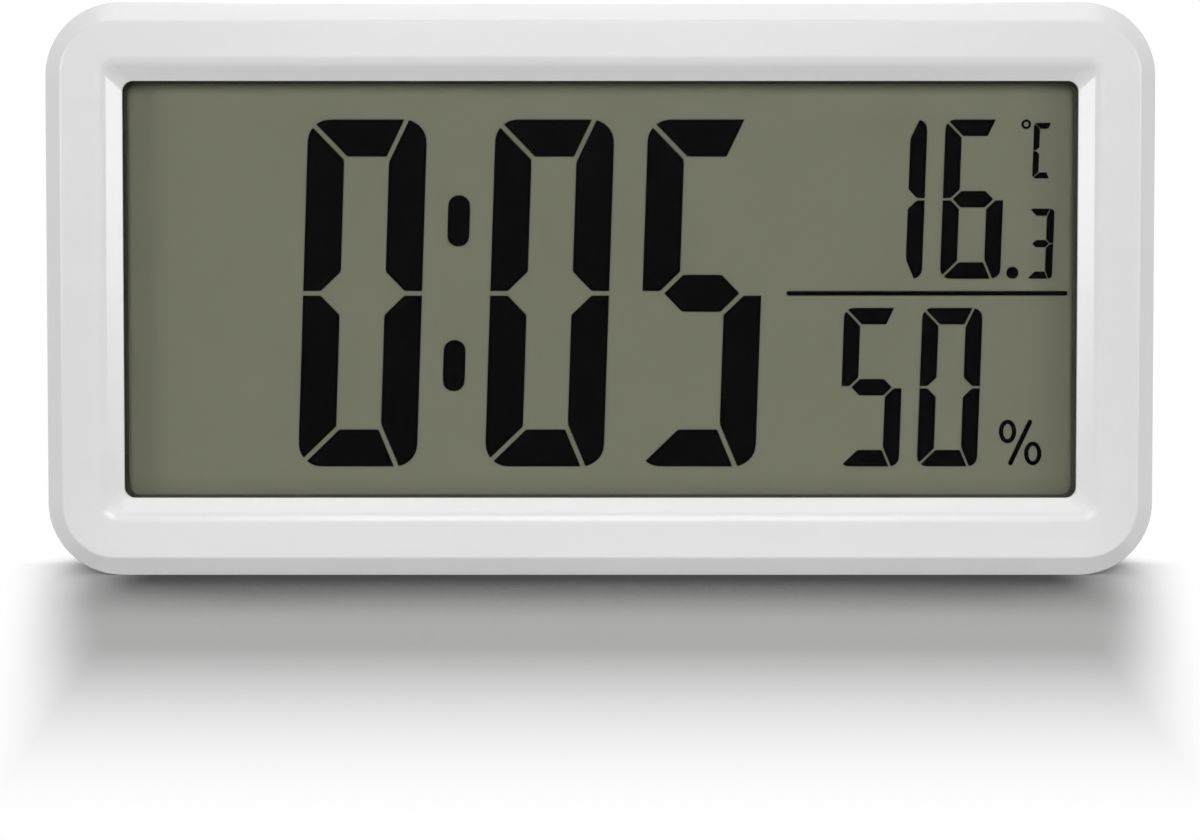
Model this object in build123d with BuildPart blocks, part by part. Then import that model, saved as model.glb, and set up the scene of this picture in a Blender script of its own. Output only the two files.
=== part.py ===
from build123d import *
import os
from math import atan, degrees, hypot, radians, sqrt, tan

# Desk clock with thermometer and hygrometer: a bevelled white case round a large reflective display.
# Millimetres. +X is to the right seen from the front, +Y runs from the front face to the back, +Z is up.
# The origin is on the table, under the middle of the case.
# A "depth" is always the distance behind the front face.

# Case
CASE_WIDTH = 165.0
CASE_HEIGHT = 85.4
CASE_DEPTH = 24.0
CORNER_RADIUS = 11.0
WALL = 2.0
FRONT_CASE_DEPTH = 16.0
PARTING_CHAMFER = 0.3
REAR_FILLET = 2.0
TONGUE_DEPTH = 1.6
TONGUE_THICKNESS = 1.25
TONGUE_END_GAP = 0.4

# Frame round the display: steep outer bevel, flat ring, shallow inner bevel
FRAME_WIDTH = 11.8
OUTER_BEVEL = 3.3
OUTER_BEVEL_DEPTH = 3.6
INNER_BEVEL = 2.55
INNER_BEVEL_DEPTH = 2.1
WINDOW_CORNER = 1.6
RING_CORNER = 1.4
WINDOW_LAND = 0.4
OUTER_EDGE_ROUND = 0.6
INNER_EDGE_ROUND = 2.4
SIDE_EDGE_ROUND = 0.8

# Display stack, front to back
LENS_THICKNESS = 1.0
LENS_OVERLAP_X = 3.25
LENS_OVERLAP_Z = 3.2
GASKET_THICKNESS = 0.3
GASKET_SHOWING = 0.3
POLARISER_THICKNESS = 0.2
POLARISER_MARGIN = 0.5
GLASS_THICKNESS = 0.7
GLASS_SIDE_MARGIN = 1.75
GLASS_BOTTOM_MARGIN = 1.8
CONTACT_LEDGE = 2.6
REAR_GLASS_TOP_MARGIN = 0.6
SEGMENT_THICKNESS = 0.1
SEAL_WIDTH = 0.5
REFLECTOR_THICKNESS = 0.3

# Display carrier, strip connector and circuit board
CARRIER_THICKNESS = 1.8
CARRIER_RIM = 1.2
FIT_GAP = 0.15
EAR_RADIUS = 2.4
EAR_TO_SIDE = 5.1
EAR_TO_EDGE = 12.7
STRIP_LENGTH = 112.0
STRIP_THICKNESS = 1.6
POST_HEIGHT = 3.5
POST_RADIUS = 2.4
POST_TO_GLASS_EDGE = 6.6
POST_SPACING = 20.0
BOARD_THICKNESS = 1.2
BOARD_HEIGHT = 30.0
BOARD_SIDE_MARGIN = 3.0

# Screws: head radius, head height, shank radius, shank length
COVER_SCREW = (2.5, 1.8, 1.3, 13.5)
EAR_SCREW = (1.9, 1.2, 0.8, 4.4)
BOARD_SCREW = (1.7, 1.1, 0.8, 4.0)
CROSS_SHARE = 0.3
SCREW_FIT = 0.02
SCREW_HOLE_GAP = 0.15
HEAD_GAP = 0.3
PILOT_SPARE = 0.3
COVER_SCREW_TO_SIDE = 20.5
COVER_SCREW_TO_EDGE = 5.3
SCREW_RECESS = 3.5
BOSS_RADIUS = 2.7
TUBE_RADIUS = 3.0

# Buttons: pill-shaped caps in a shallow dish, each over a tact switch
BUTTON_NAMES = ("set", "up", "down", "unit")
BUTTON_LENGTH = 9.0
BUTTON_HEIGHT = 5.5
BUTTON_PITCH = 13.5
BUTTON_DROP = 21.4
BUTTON_TRAVEL = 0.6
BUTTON_PROUD = 0.7
BUTTON_GAP = 0.2
BUTTON_FLANGE = 1.0
BUTTON_FLANGE_THICKNESS = 1.0
BUTTON_STEM_RADIUS = 2.0
BUTTON_EDGE_ROUND = 0.4
BUTTON_MARK = 2.2
ARROW_ANGLE = 60.0
BUTTON_MARK_DEPTH = 0.25
DISH_DEPTH = 1.0
DISH_MARGIN = 4.0
DISH_CORNER = 4.0
DISH_PAD = 2.1
SWITCH_SIZE = 6.0
SWITCH_HEIGHT = 3.5
PLUNGER_RADIUS = 1.75
PLUNGER_OUT = 0.8
PLUNGER_IN = 1.2
PLUNGER_GAP = 0.1

# Stand leg, hinged near the top of its recess
LEG_WIDTH = 32.0
LEG_THICKNESS = 3.0
LEG_LIFT = 0.8
LEG_TO_POCKET = 5.6
LEG_GAP = 0.4
LEG_SIDE_GAP = 0.3
LEG_PIN_RADIUS = 0.9
LEG_PIN_LENGTH = 1.4
LEG_HEEL = 1.1
LEG_BORDER = 2.5
LEG_RIB = 1.2
LEG_HOLLOW = 1.4
RECESS_WALL = 1.6
RECESS_FLOOR = 1.4
PIN_GAP = 0.05
PIN_END_GAP = 0.2
GRIP_GROOVES = 3
GRIP_PITCH = 2.0
GRIP_DEPTH = 0.5

# Battery bay, cells, contacts and door
CELL_RADIUS = 5.25
CELL_LENGTH = 44.5
CELL_NUB_RADIUS = 1.9
CELL_NUB_LENGTH = 0.9
CELL_END_RADIUS = 4.4
CELL_EDGE = 0.4
CELL_GAP = 0.3
CELL_PITCH = 11.2
BAY_Z = 29.0
BAY_HEIGHT = 23.0
BAY_WALL = 2.0
BAY_FLOOR = 1.2
BAY_RIB_WIDTH = 1.0
BAY_RIB_HEIGHT = 2.0
WIRE_ROOM = 4.1
SPRING_LENGTH = 5.9
SPRING_WIRE_RADIUS = 0.3
SPRING_BASE_RADIUS = 3.5
SPRING_TIP_RADIUS = 2.3
SPRING_TURNS = 4
CONTACT_THICKNESS = 0.4
CONTACT_WIDTH = 9.0
CONTACT_FRONT_GAP = 1.2
CONTACT_BACK_GAP = 1.0
TAB_WIDTH = 3.0
TAB_REACH = 4.0
TAB_STAGGER = 1.5
TAB_SLOT_GAP = 0.15
DOOR_THICKNESS = 2.1
DOOR_SEAT_GAP = 0.15
DOOR_LEDGE = 1.0
DOOR_GAP = 0.2
DOOR_PIN_RADIUS = 0.6
DOOR_PIN_LENGTH = 1.2
DOOR_ARROW = 5.0
DOOR_ARROW_ANGLE = 45.0
LATCH_WIDTH = 13.0
LATCH_LENGTH = 7.0
LATCH_SLIT = 0.8
SCOOP_LENGTH = 13.0
SCOOP_HEIGHT = 6.0
SCOOP_DEPTH = 1.2

# Wires from the contacts to the board
WIRE_RADIUS = 0.6
WIRE_BEND = 1.5
BEND_SHARE = 0.9
WIRE_TO_TAB_END = 1.0
POSITIVE_PAD_INSET = (10.0, 3.5)
NEGATIVE_PAD_INSET = (14.0, 1.5)

# Hanging keyhole, vents and the bare label panel
KEYHOLE_DROP = 19.4
KEYHOLE_RADIUS = 4.0
KEYHOLE_SLOT_RADIUS = 2.2
KEYHOLE_RISE = 7.5
POCKET_DEPTH = 4.0
POCKET_WALL = 1.2
POCKET_MARGIN = 1.2
VENT_COUNT = 7
VENT_PITCH = 4.0
VENT_WIDTH = 1.6
VENT_HEIGHT = 13.0
VENT_DROP = 22.9
LABEL_WIDTH = 46.0
LABEL_HEIGHT = 23.0
LABEL_DEPTH = 0.4
LABEL_CORNER = 2.0

# Parts on the board
BLOB_RADIUS = 7.5
BLOB_HEIGHT = 1.6
BLOB_X = -4.0
CRYSTAL_RADIUS = 1.0
CRYSTAL_LENGTH = 6.0
CRYSTAL_X = 14.0
CHIP_LENGTH = 2.0
CHIP_WIDTH = 1.25
CHIP_HEIGHT = 0.9
CHIP_PITCH = 4.0
CHIP_COUNT = 5
SENSOR_WIDTH = 10.0
SENSOR_HEIGHT = 6.4
SENSOR_DEPTH = 3.4
SENSOR_WALL = 0.8
SENSOR_SLOTS = 4
BEAD_RADIUS = 1.2
BEAD_LEG_RADIUS = 0.25
BEAD_LEG_LENGTH = 3.0
BEAD_LEG_SPREAD = 0.7
BEAD_TO_SENSOR = 8.5

# Display figures: cell width, cell height, stroke, gap between segments
BIG_DIGIT = (17.8, 51.95, 5.55, 0.68)
MIDDLE_DIGIT = (9.02, 23.8, 2.48, 0.34)
TENTHS_DIGIT = (3.8, 10.5, 1.1, 0.13)
UNIT_DIGIT = (3.05, 8.3, 0.9, 0.1)
DIGIT_SLANT = 1.9
CORNER_SHARE = 0.62
JOIN_SHARE = 0.55

# Places of the figures, from the right edge of the window to the right edge of each
BIG_TO_WINDOW = 46.6
BIG_PITCH = 22.78
HOUR_PITCH = 28.0
BIG_DROP = 0.56
COLON_WIDTH = 3.3
COLON_HEIGHT = 7.7
COLON_SPREAD = 21.67
COLON_TO_MINUTES = 13.95
MIDDLE_PITCH = 11.72
TEMPERATURE_TO_WINDOW = 10.48
HUMIDITY_TO_WINDOW = 13.82
TENTHS_TO_WINDOW = 2.95
UNIT_TO_WINDOW = 2.98
UNIT_DROP = 0.5
DOT_RADIUS = 0.9
DOT_TO_WINDOW = 9.04
DEGREE_RADIUS = 0.72
DEGREE_STROKE = 0.34
DEGREE_TO_WINDOW = 7.09
RULE_LENGTH = 42.1
RULE_THICKNESS = 0.7
RULE_TO_WINDOW = 0.76
PERCENT_TO_WINDOW = 7.73
PERCENT_RISE = 3.6
PERCENT_LEAN = 25.2
PERCENT_LENGTH = 7.5
PERCENT_SLASH = 0.68
PERCENT_STROKE = 0.64
PERCENT_RING_WIDTH = 2.6
PERCENT_RING_HEIGHT = 3.55
PERCENT_RING_X = 1.9
PERCENT_RING_Z = 1.65

# Lit segments of each figure, named a to g clockwise from the top, with g in the middle
LIT = {"0": "abcdef", "1": "bc", "3": "abcdg", "5": "acdfg", "6": "acdefg", "C": "adef"}

# Derived: case and window
FRONT_Y = -CASE_DEPTH / 2
MID_Z = CASE_HEIGHT / 2
INSIDE_DEPTH = CASE_DEPTH - WALL
WINDOW_WIDTH = CASE_WIDTH - 2 * FRAME_WIDTH
WINDOW_HEIGHT = CASE_HEIGHT - 2 * FRAME_WIDTH
WINDOW_RIGHT = WINDOW_WIDTH / 2
WINDOW_TOP = MID_Z + WINDOW_HEIGHT / 2
WINDOW_BOTTOM = MID_Z - WINDOW_HEIGHT / 2

# Derived: depths of the display stack and the board
LENS_FRONT = INNER_BEVEL_DEPTH + WINDOW_LAND
GASKET_FRONT = LENS_FRONT + LENS_THICKNESS
POLARISER_FRONT = GASKET_FRONT + GASKET_THICKNESS
FRONT_GLASS_FRONT = POLARISER_FRONT + POLARISER_THICKNESS
SEGMENT_FRONT = FRONT_GLASS_FRONT + GLASS_THICKNESS
REAR_GLASS_FRONT = SEGMENT_FRONT + SEGMENT_THICKNESS
REFLECTOR_FRONT = REAR_GLASS_FRONT + GLASS_THICKNESS
CARRIER_FRONT = REFLECTOR_FRONT + REFLECTOR_THICKNESS
CARRIER_BACK = CARRIER_FRONT + CARRIER_THICKNESS
BOARD_FRONT = CARRIER_BACK + POST_HEIGHT
BOARD_BACK = BOARD_FRONT + BOARD_THICKNESS

# Derived: edges of the display cell, the carrier and the board
GLASS_HALF_WIDTH = WINDOW_RIGHT + GLASS_SIDE_MARGIN
GLASS_BOTTOM = WINDOW_BOTTOM - GLASS_BOTTOM_MARGIN
REAR_GLASS_TOP = WINDOW_TOP + REAR_GLASS_TOP_MARGIN
GLASS_TOP = REAR_GLASS_TOP + CONTACT_LEDGE
CARRIER_HALF_WIDTH = GLASS_HALF_WIDTH + FIT_GAP + CARRIER_RIM
CARRIER_BOTTOM = GLASS_BOTTOM - FIT_GAP - CARRIER_RIM
STRIP_Z = (REAR_GLASS_TOP + GLASS_TOP) / 2
BOARD_HALF_WIDTH = GLASS_HALF_WIDTH - BOARD_SIDE_MARGIN
BOARD_TOP = GLASS_TOP - FIT_GAP
BOARD_BOTTOM = BOARD_TOP - BOARD_HEIGHT
BOARD_Z = (BOARD_TOP + BOARD_BOTTOM) / 2

# Derived: screw places
BOSS_TOP_DEPTH = FRONT_CASE_DEPTH - TONGUE_DEPTH - TONGUE_END_GAP
SCREW_SEAT_DEPTH = CASE_DEPTH - SCREW_RECESS
EAR_X = CASE_WIDTH / 2 - EAR_TO_SIDE
EAR_ZS = (EAR_TO_EDGE, CASE_HEIGHT - EAR_TO_EDGE)
EAR_POINTS = [(x, z) for x in (-EAR_X, EAR_X) for z in EAR_ZS]
COVER_SCREW_X = CASE_WIDTH / 2 - COVER_SCREW_TO_SIDE
COVER_SCREW_ZS = (COVER_SCREW_TO_EDGE, CASE_HEIGHT - COVER_SCREW_TO_EDGE)
COVER_SCREW_POINTS = [(x, z) for x in (-COVER_SCREW_X, COVER_SCREW_X) for z in COVER_SCREW_ZS]
POST_X = GLASS_HALF_WIDTH - POST_TO_GLASS_EDGE
POST_ZS = (BOARD_Z - POST_SPACING / 2, BOARD_Z + POST_SPACING / 2)
POST_POINTS = [(x, z) for x in (-POST_X, POST_X) for z in POST_ZS]

# Derived: keyhole pocket, with the stand recess below it
KEYHOLE_Z = CASE_HEIGHT - KEYHOLE_DROP
POCKET_HALF = KEYHOLE_RADIUS + POCKET_MARGIN
POCKET_BOTTOM = KEYHOLE_Z - POCKET_HALF
POCKET_TOP = KEYHOLE_Z + KEYHOLE_RISE + POCKET_HALF
RECESS_HALF_WIDTH = LEG_WIDTH / 2 + LEG_SIDE_GAP
RECESS_DEPTH = CASE_DEPTH - LEG_THICKNESS - LEG_GAP
RECESS_TOP = POCKET_BOTTOM - POCKET_WALL - LEG_TO_POCKET - RECESS_WALL
LEG_AXIS_Z = RECESS_TOP - LEG_GAP - LEG_THICKNESS / 2
LEG_AXIS_DEPTH = CASE_DEPTH - LEG_THICKNESS / 2

# Derived: battery bay, contacts and door
DOOR_FRONT = CASE_DEPTH - DOOR_THICKNESS
CELL_DEPTH = DOOR_FRONT - CELL_GAP - CELL_RADIUS
CELL_UPPER_Z = BAY_Z + CELL_PITCH / 2
CELL_LOWER_Z = BAY_Z - CELL_PITCH / 2
BAY_FLOOR_BACK = CELL_DEPTH - CELL_RADIUS - CELL_GAP
BAY_LENGTH = CELL_LENGTH + SPRING_LENGTH + 2 * CONTACT_THICKNESS
BAY_RIGHT = CASE_WIDTH / 2 - WALL - WIRE_ROOM - BAY_WALL
BAY_LEFT = BAY_RIGHT - BAY_LENGTH
BAY_BOTTOM = BAY_Z - BAY_HEIGHT / 2
BAY_TOP = BAY_Z + BAY_HEIGHT / 2
BAY_X = (BAY_LEFT + BAY_RIGHT) / 2
DOOR_WIDTH = BAY_LENGTH + 2 * DOOR_LEDGE - 2 * DOOR_GAP
DOOR_BOTTOM = BAY_BOTTOM - DOOR_LEDGE + DOOR_GAP
DOOR_TOP = BAY_TOP + DOOR_LEDGE - DOOR_GAP
DOOR_AXIS_Z = DOOR_BOTTOM + DOOR_THICKNESS / 2
DOOR_AXIS_DEPTH = CASE_DEPTH - DOOR_THICKNESS / 2
CONTACT_FRONT_Y = FRONT_Y + BAY_FLOOR_BACK + CONTACT_FRONT_GAP
CONTACT_BACK_Y = FRONT_Y + DOOR_FRONT - CONTACT_BACK_GAP
POSITIVE_TAB_DEPTH = CELL_DEPTH
NEGATIVE_TAB_DEPTH = CELL_DEPTH - TAB_STAGGER
SPRING_TRAVEL = SPRING_LENGTH - 2 * SPRING_WIRE_RADIUS
SPRING_TAPER = degrees(atan((SPRING_BASE_RADIUS - SPRING_TIP_RADIUS) / SPRING_TRAVEL))
WIRE_X = BAY_RIGHT + TAB_REACH - WIRE_TO_TAB_END
POSITIVE_PAD = (BOARD_HALF_WIDTH - POSITIVE_PAD_INSET[0], BOARD_BOTTOM + POSITIVE_PAD_INSET[1])
NEGATIVE_PAD = (BOARD_HALF_WIDTH - NEGATIVE_PAD_INSET[0], BOARD_BOTTOM + NEGATIVE_PAD_INSET[1])

# Derived: vents and buttons
VENT_Z = CASE_HEIGHT - VENT_DROP
BEAD_X = BAY_X - BEAD_TO_SENSOR
BLOB_SPHERE = (BLOB_RADIUS**2 + BLOB_HEIGHT**2) / (2 * BLOB_HEIGHT)
SWITCH_TOP = BOARD_BACK + SWITCH_HEIGHT
SWITCH_BORE_DEPTH = PLUNGER_IN + BUTTON_TRAVEL + BUTTON_GAP
DISH_FLOOR = CASE_DEPTH - DISH_DEPTH
CAP_BACK = DISH_FLOOR + BUTTON_PROUD
PAD_FRONT = DISH_FLOOR - DISH_PAD
FLANGE_BACK = PAD_FRONT - BUTTON_GAP
BUTTON_ROW_X = -(CASE_WIDTH / 2 - WALL + POCKET_HALF + POCKET_WALL) / 2
BUTTON_ROW_Z = CASE_HEIGHT - BUTTON_DROP
BUTTON_XS = {
    name: BUTTON_ROW_X + (1.5 - place) * BUTTON_PITCH for place, name in enumerate(BUTTON_NAMES)
}
BUTTON_POINTS = [(x, BUTTON_ROW_Z) for x in BUTTON_XS.values()]
DISH_LENGTH = 3 * BUTTON_PITCH + BUTTON_LENGTH + 2 * DISH_MARGIN
DISH_HEIGHT = BUTTON_HEIGHT + 2 * DISH_MARGIN

# Derived: middles of the figures on the display
BIG_Z = MID_Z - BIG_DROP
BIG_TOP = BIG_Z + BIG_DIGIT[1] / 2
BIG_BOTTOM = BIG_Z - BIG_DIGIT[1] / 2
MINUTES_X = WINDOW_RIGHT - BIG_TO_WINDOW - BIG_DIGIT[0] / 2
COLON_X = MINUTES_X - BIG_PITCH - COLON_TO_MINUTES
TEMPERATURE_X = WINDOW_RIGHT - TEMPERATURE_TO_WINDOW - MIDDLE_DIGIT[0] / 2
TEMPERATURE_Z = BIG_TOP - MIDDLE_DIGIT[1] / 2
TEMPERATURE_BOTTOM = BIG_TOP - MIDDLE_DIGIT[1]
TENTHS_X = WINDOW_RIGHT - TENTHS_TO_WINDOW - TENTHS_DIGIT[0] / 2
TENTHS_Z = TEMPERATURE_BOTTOM + TENTHS_DIGIT[1] / 2
UNIT_X = WINDOW_RIGHT - UNIT_TO_WINDOW - UNIT_DIGIT[0] / 2
UNIT_Z = BIG_TOP - UNIT_DROP - UNIT_DIGIT[1] / 2
HUMIDITY_X = WINDOW_RIGHT - HUMIDITY_TO_WINDOW - MIDDLE_DIGIT[0] / 2
HUMIDITY_Z = BIG_BOTTOM + MIDDLE_DIGIT[1] / 2
PERCENT_X = WINDOW_RIGHT - PERCENT_TO_WINDOW
PERCENT_Z = BIG_BOTTOM + PERCENT_RISE


def at_depth(depth):
    """Sketch plane parallel to the front face: sketch x is world X and sketch y is world Z."""
    return Plane(origin=(0, FRONT_Y + depth, 0), x_dir=(1, 0, 0), z_dir=(0, -1, 0))


def across(x):
    """Sketch plane square to X: sketch x is world Y and sketch y is world Z."""
    return Plane.YZ.offset(x)


def y_at(depth):
    return FRONT_Y + depth


def case_outline(inset, mode=Mode.ADD):
    """The outline of the case, drawn in from its sides by inset."""
    with Locations((0, MID_Z)):
        RectangleRounded(
            CASE_WIDTH - 2 * inset, CASE_HEIGHT - 2 * inset, CORNER_RADIUS - inset, mode=mode
        )


def window_outline(grow_x, grow_z, corner, mode=Mode.ADD):
    """A rounded rectangle round the middle of the window, larger than it by grow on each side."""
    with Locations((0, MID_Z)):
        RectangleRounded(WINDOW_WIDTH + 2 * grow_x, WINDOW_HEIGHT + 2 * grow_z, corner, mode=mode)


def block(left, right, bottom, top, mode=Mode.ADD):
    """A plain rectangle between four edges."""
    with Locations(((left + right) / 2, (bottom + top) / 2)):
        Rectangle(right - left, top - bottom, mode=mode)


def mirrored(points):
    return [(x, -z) for x, z in points]


def slanted(points):
    slant = tan(radians(DIGIT_SLANT))
    return [(x + z * slant, z) for x, z in points]


def segment_shapes(width, height, stroke, gap):
    """Corner points of the seven segments of one upright digit, round its middle."""
    w = width / 2
    h = height / 2
    s = stroke
    join = JOIN_SHARE * s
    corner_gap = gap / sqrt(2)
    side_gap = gap / 2 * hypot(s - join, s) / s
    top = [
        (-w + corner_gap, h),
        (w - join - side_gap, h),
        (w - s - side_gap, h - s),
        (-w + s + corner_gap, h - s),
    ]
    upper_right = [
        (w - join + side_gap, h),
        (w, h),
        (w, gap / 2),
        (w - s / 2 + corner_gap - gap / 2, gap / 2),
        (w - s, s / 2 + corner_gap),
        (w - s, h - s - side_gap * s / (s - join)),
    ]
    upper_left = [
        (-w, h - corner_gap),
        (-w + s, h - s - corner_gap),
        (-w + s, s / 2 + corner_gap),
        (-w + s / 2 - corner_gap + gap / 2, gap / 2),
        (-w, gap / 2),
    ]
    middle = [
        (-w + s / 2 + corner_gap, 0),
        (-w + s + corner_gap, s / 2),
        (w - s - corner_gap, s / 2),
        (w - s / 2 - corner_gap, 0),
        (w - s - corner_gap, -s / 2),
        (-w + s + corner_gap, -s / 2),
    ]
    return {
        "a": top,
        "b": upper_right,
        "c": mirrored(upper_right),
        "d": mirrored(top),
        "e": mirrored(upper_left),
        "f": upper_left,
        "g": middle,
    }


def figure(name, cell):
    """The lit segments of one figure, cut to the rounded outline of its cell."""
    w = cell[0] / 2
    h = cell[1] / 2
    shapes = segment_shapes(*cell)
    with BuildSketch() as outline:
        Polygon(*slanted([(-w, -h), (w, -h), (w, h), (-w, h)]), align=None)
        fillet(outline.vertices(), CORNER_SHARE * cell[2])
    with BuildSketch() as digit:
        for segment in LIT[name]:
            Polygon(*slanted(shapes[segment]), align=None)
        add(outline.sketch, mode=Mode.INTERSECT)
    return digit.sketch


def screw_set(points, seat_depth, size):
    """Pan-head screws driven from the back, their heads resting at seat_depth."""
    head_radius, head_height, shank_radius, shank_length = size
    with BuildPart() as screws:
        with BuildSketch(at_depth(seat_depth)):
            with Locations(*points):
                Circle(head_radius)
        extrude(amount=-head_height)
        fillet(screws.edges().group_by(Axis.Y)[-1], head_height / 2)
        with BuildSketch(at_depth(seat_depth)):
            with Locations(*points):
                Circle(shank_radius)
        extrude(amount=shank_length)
        with BuildSketch(at_depth(seat_depth + head_height)):
            with Locations(*points):
                Rectangle(head_radius * 1.1, head_radius * CROSS_SHARE)
                Rectangle(head_radius * CROSS_SHARE, head_radius * 1.1)
        extrude(amount=head_height / 2, mode=Mode.SUBTRACT)
    return screws


# Front case: bevelled frame and side walls in one moulding, with screw bosses inside
with BuildPart() as front_case:
    with BuildSketch(at_depth(0)):
        case_outline(OUTER_BEVEL)
    with BuildSketch(at_depth(OUTER_BEVEL_DEPTH)):
        case_outline(0)
    loft(ruled=True)
    with BuildSketch(at_depth(OUTER_BEVEL_DEPTH)):
        case_outline(0)
    extrude(amount=OUTER_BEVEL_DEPTH - FRONT_CASE_DEPTH)
    bevel_edge_y = y_at(OUTER_BEVEL_DEPTH)
    fillet(front_case.edges().filter_by_position(Axis.Y, bevel_edge_y, bevel_edge_y), SIDE_EDGE_ROUND)
    fillet(front_case.edges().group_by(Axis.Y)[0], OUTER_EDGE_ROUND)
    chamfer(front_case.edges().group_by(Axis.Y)[-1], PARTING_CHAMFER)
    with BuildSketch(at_depth(LENS_FRONT)):
        case_outline(WALL)
    extrude(amount=LENS_FRONT - FRONT_CASE_DEPTH, mode=Mode.SUBTRACT)
    with BuildSketch(at_depth(0)):
        window_outline(INNER_BEVEL, INNER_BEVEL, RING_CORNER)
    with BuildSketch(at_depth(INNER_BEVEL_DEPTH)):
        window_outline(0, 0, WINDOW_CORNER)
    loft(ruled=True, mode=Mode.SUBTRACT)
    with BuildSketch(at_depth(INNER_BEVEL_DEPTH)):
        window_outline(0, 0, WINDOW_CORNER)
    extrude(amount=-WINDOW_LAND, mode=Mode.SUBTRACT)
    ring_edges = [
        edge
        for edge in front_case.edges().group_by(Axis.Y)[0]
        if abs(edge.center().X) < WINDOW_RIGHT + FRAME_WIDTH / 2
        and abs(edge.center().Z - MID_Z) < WINDOW_HEIGHT / 2 + FRAME_WIDTH / 2
    ]
    fillet(ring_edges, INNER_EDGE_ROUND)
    with BuildSketch(at_depth(LENS_FRONT)):
        with Locations(*COVER_SCREW_POINTS):
            Circle(BOSS_RADIUS)
    extrude(amount=LENS_FRONT - BOSS_TOP_DEPTH)
    with BuildSketch(at_depth(LENS_FRONT)):
        with Locations(*EAR_POINTS):
            Circle(EAR_RADIUS)
    extrude(amount=LENS_FRONT - CARRIER_FRONT)
    with BuildSketch(at_depth(BOSS_TOP_DEPTH)):
        with Locations(*COVER_SCREW_POINTS):
            Circle(COVER_SCREW[2] + SCREW_FIT)
    extrude(amount=COVER_SCREW[3] + PILOT_SPARE + BOSS_TOP_DEPTH - SCREW_SEAT_DEPTH, mode=Mode.SUBTRACT)
    with BuildSketch(at_depth(CARRIER_FRONT)):
        with Locations(*EAR_POINTS):
            Circle(EAR_SCREW[2] + SCREW_FIT)
    extrude(amount=EAR_SCREW[3] + PILOT_SPARE - CARRIER_THICKNESS, mode=Mode.SUBTRACT)

# Display window: clear sheet bonded behind the lip of the frame
with BuildPart() as display_lens:
    with BuildSketch(at_depth(LENS_FRONT)):
        window_outline(LENS_OVERLAP_X, LENS_OVERLAP_Z, WINDOW_CORNER)
    extrude(amount=-LENS_THICKNESS)

# Foam gasket: a thin black line of it shows inside the window
with BuildPart() as display_gasket:
    with BuildSketch(at_depth(GASKET_FRONT)):
        window_outline(GLASS_SIDE_MARGIN, GLASS_BOTTOM_MARGIN, WINDOW_CORNER)
        window_outline(-GASKET_SHOWING, -GASKET_SHOWING, WINDOW_CORNER, mode=Mode.SUBTRACT)
    extrude(amount=-GASKET_THICKNESS)

# Display cell: polariser, front glass, segments inside an edge seal, rear glass, reflector
with BuildPart() as front_polariser:
    with BuildSketch(at_depth(POLARISER_FRONT)):
        window_outline(POLARISER_MARGIN, POLARISER_MARGIN, WINDOW_CORNER)
    extrude(amount=-POLARISER_THICKNESS)

with BuildPart() as lcd_front_glass:
    with BuildSketch(at_depth(FRONT_GLASS_FRONT)):
        block(-GLASS_HALF_WIDTH, GLASS_HALF_WIDTH, GLASS_BOTTOM, GLASS_TOP)
    extrude(amount=-GLASS_THICKNESS)

with BuildPart() as lcd_seal:
    with BuildSketch(at_depth(SEGMENT_FRONT)):
        block(-GLASS_HALF_WIDTH, GLASS_HALF_WIDTH, GLASS_BOTTOM, REAR_GLASS_TOP)
        block(
            SEAL_WIDTH - GLASS_HALF_WIDTH,
            GLASS_HALF_WIDTH - SEAL_WIDTH,
            GLASS_BOTTOM + SEAL_WIDTH,
            REAR_GLASS_TOP - SEAL_WIDTH,
            mode=Mode.SUBTRACT,
        )
    extrude(amount=-SEGMENT_THICKNESS)

figure_places = [
    ("0", BIG_DIGIT, MINUTES_X - BIG_PITCH - HOUR_PITCH, BIG_Z),
    ("0", BIG_DIGIT, MINUTES_X - BIG_PITCH, BIG_Z),
    ("5", BIG_DIGIT, MINUTES_X, BIG_Z),
    ("1", MIDDLE_DIGIT, TEMPERATURE_X - MIDDLE_PITCH, TEMPERATURE_Z),
    ("6", MIDDLE_DIGIT, TEMPERATURE_X, TEMPERATURE_Z),
    ("3", TENTHS_DIGIT, TENTHS_X, TENTHS_Z),
    ("C", UNIT_DIGIT, UNIT_X, UNIT_Z),
    ("5", MIDDLE_DIGIT, HUMIDITY_X - MIDDLE_PITCH, HUMIDITY_Z),
    ("0", MIDDLE_DIGIT, HUMIDITY_X, HUMIDITY_Z),
]
figures = [(figure(name, cell), x, z) for name, cell, x, z in figure_places]

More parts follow.
